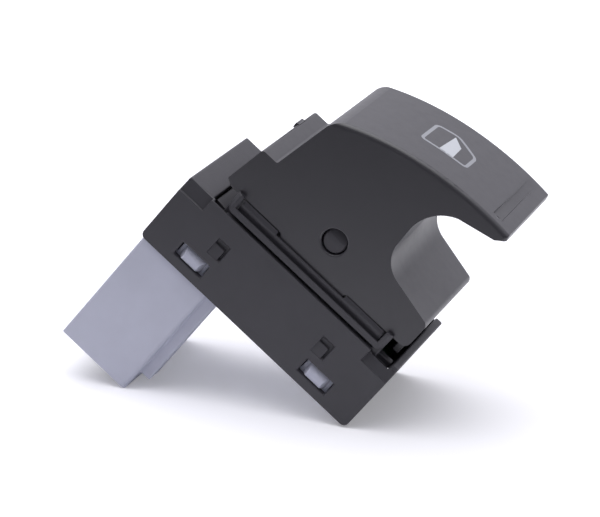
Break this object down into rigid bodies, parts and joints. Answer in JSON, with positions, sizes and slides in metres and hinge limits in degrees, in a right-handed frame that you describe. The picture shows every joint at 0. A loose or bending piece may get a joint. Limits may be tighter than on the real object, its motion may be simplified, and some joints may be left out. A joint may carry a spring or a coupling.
{
  "type": "car window switch",
  "caption": "Rocker switch for a car door window: box housing with a curved pull-up button, finger recess under the lip and a grey connector below.",
  "frame": {"origin": "centre of the closed underside of the housing, where its floor is flush with its walls", "axes": "+X from the rear of the housing to the front, where the finger lip is; +Y across the switch; +Z from the connector to the button"},
  "size_m": [0.04, 0.025, 0.0587],
  "materials": {
    "housing": "fine moulded grain",
    "base": "smooth moulded",
    "terminal": "tin plated",
    "circuit_board": "solder mask",
    "contact_mat": "silicone",
    "lamp": "clear resin",
    "chip": "ceramic body",
    "capacitor": "ceramic body",
    "rocker_carrier": "moulded",
    "light_guide": "polished clear plastic",
    "actuator": "smooth natural acetal",
    "button": "soft satin coat"
  },
  "bodies": {
    "housing": {"housing": "housing", "base": "base", "terminal_1": "terminal", "terminal_2": "terminal", "terminal_3": "terminal", "terminal_4": "terminal", "circuit_board": "circuit_board", "contact_mat": "contact_mat", "lamp": "lamp", "resistor_1": "chip", "resistor_2": "chip", "resistor_3": "chip", "capacitor": "capacitor", "diode": "chip", "rocker_carrier": "rocker_carrier", "light_guide": "light_guide"},
    "button": {"button": "button"},
    "actuator": {"actuator": "actuator"}
  },
  "joints": [
    {"name": "button_rock", "type": "hinge", "parent": "housing", "child": "button", "pos_m": [0.0012, 0, 0.0195], "axis": [0, 1, 0], "range_deg": [-7, 7], "stiffness_Nm_per_rad": 0.5},
    {"name": "actuator_rock", "type": "hinge", "parent": "housing", "child": "actuator", "pos_m": [0.0012, 0, 0.008], "axis": [0, 1, 0], "range_deg": [-9.2, 9.2], "deforming": ["contact_mat"]}
  ],
  "couplings": [
    {"joint": "actuator_rock", "follows": "button_rock", "ratio": -1.3}
  ]
}
